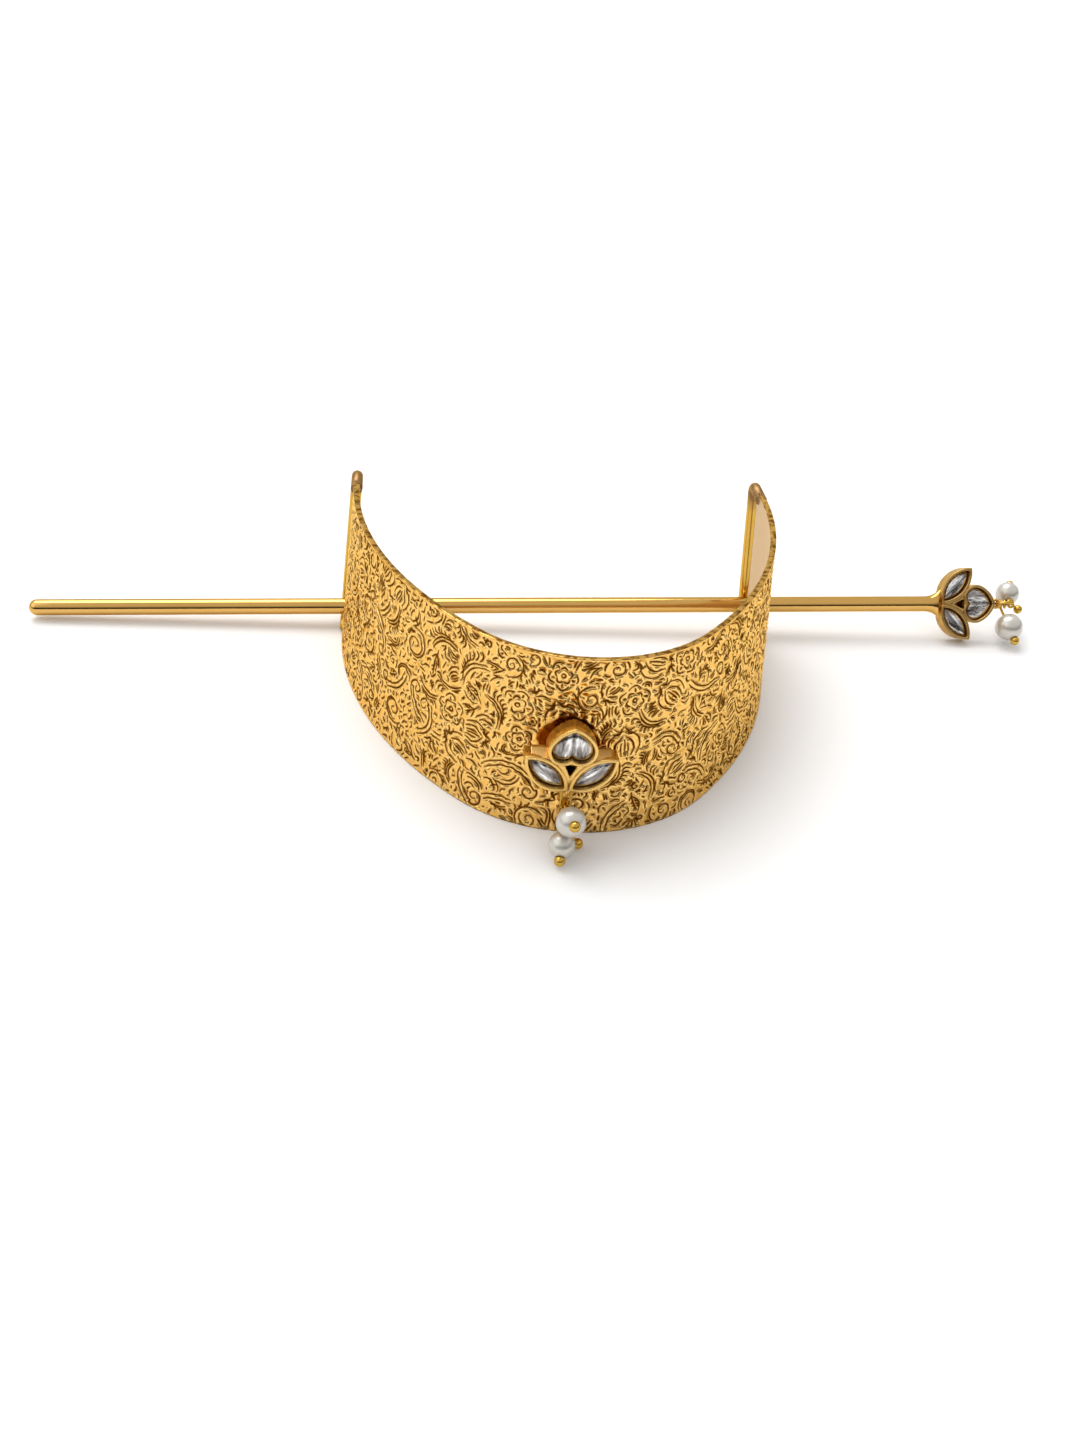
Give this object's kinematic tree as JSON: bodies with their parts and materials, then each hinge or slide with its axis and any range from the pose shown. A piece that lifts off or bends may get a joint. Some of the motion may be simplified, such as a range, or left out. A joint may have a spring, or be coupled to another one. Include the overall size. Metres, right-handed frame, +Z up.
{
  "type": "hair bun pin",
  "caption": "Gold-tone engraved open cuff that goes round a hair bun, with a long stick through its end slots, stone-set trefoils and pearl drops",
  "frame": {"origin": "on the surface that the pin stands on, under the middle of its bounding box", "axes": "+X along the stick towards its finial, +Y from the cuff's bulge to its open side, +Z up"},
  "size_m": [0.1662, 0.0686, 0.0265],
  "materials": {
    "gold_metal": "antique gold plate, engraved all over outside with darkened grooves, smooth inside",
    "gold_rod": "polished gold plate",
    "gold_wire": "bright gold plate",
    "foiled_stone": "cut glass over silver foil",
    "pearl": "pearl lacquer"
  },
  "bodies": {
    "cuff": {"cuff": "gold_metal", "cuff_heart_stone": "foiled_stone", "cuff_left_stone": "foiled_stone", "cuff_right_stone": "foiled_stone", "cuff_link": "gold_wire", "cuff_ring": "gold_wire", "cuff_pin_1": "gold_wire", "cuff_pin_2": "gold_wire", "cuff_pin_3": "gold_wire", "cuff_pearl_1": "pearl", "cuff_pearl_2": "pearl"},
    "stick": {"stick": "gold_rod", "stick_heart_stone": "foiled_stone", "stick_near_stone": "foiled_stone", "stick_far_stone": "foiled_stone", "stick_ring": "gold_wire", "stick_pin_1": "gold_wire", "stick_pin_2": "gold_wire", "stick_pin_3": "gold_wire", "stick_pearl_1": "pearl", "stick_pearl_2": "pearl"}
  },
  "joints": [
    {"name": "stick_slide", "type": "slide", "parent": "cuff", "child": "stick", "axis": [0.9996, 0, 0.0274], "range_m": [-0.03, 0.122]}
  ]
}
